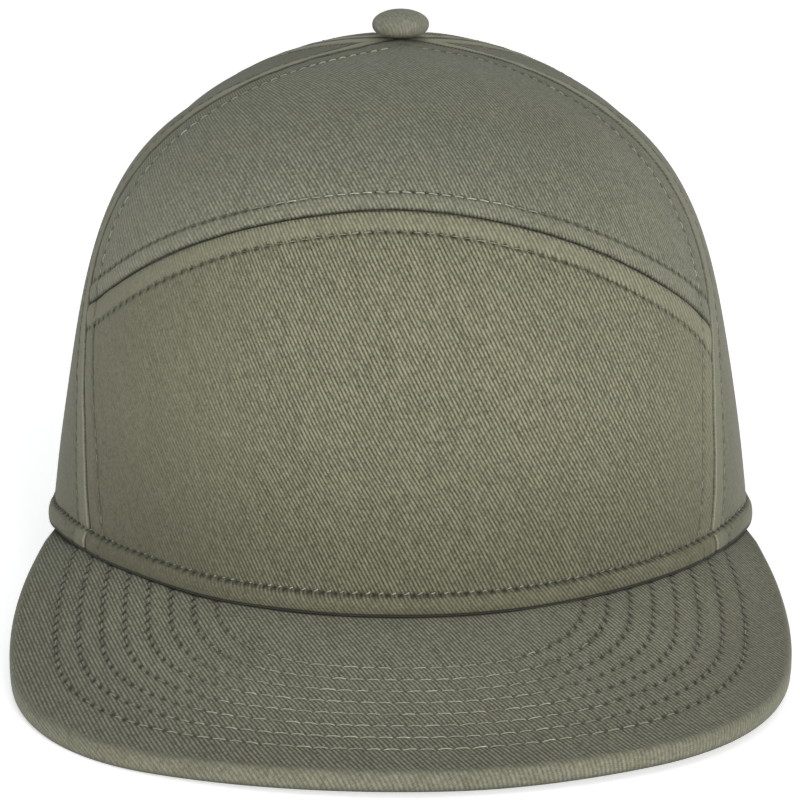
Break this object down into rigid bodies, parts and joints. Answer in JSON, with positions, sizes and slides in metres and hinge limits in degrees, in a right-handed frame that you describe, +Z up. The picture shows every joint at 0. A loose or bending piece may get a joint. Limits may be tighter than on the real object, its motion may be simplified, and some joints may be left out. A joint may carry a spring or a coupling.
{
  "type": "six-panel flat-brim cap",
  "caption": "Structured cloth cap with panels, an arched seam over the forehead, a covered button and a flat stitched brim.",
  "frame": {"origin": "on the floor under the middle of the cap's bounding box", "axes": "+X to the viewer's right as the cap faces the viewer, +Y from the brim to the back of the crown, +Z up"},
  "size_m": [0.1782, 0.2699, 0.1329],
  "materials": {
    "front_twill": "olive cotton twill",
    "upper_twill": "olive cotton twill, greyer",
    "crown_twill": "olive cotton twill",
    "brim_twill": "olive cotton twill, stitched in rows",
    "button_twill": "olive cotton twill, gathered",
    "sweatband_cotton": "dark cotton band"
  },
  "bodies": {
    "root": {"front_lower_panel": "front_twill", "front_upper_panel": "upper_twill", "side_panel_left": "crown_twill", "side_panel_right": "crown_twill", "back_panel_left": "crown_twill", "back_panel_right": "crown_twill", "brim": "brim_twill", "button": "button_twill", "sweatband": "sweatband_cotton"}
  },
  "joints": []
}
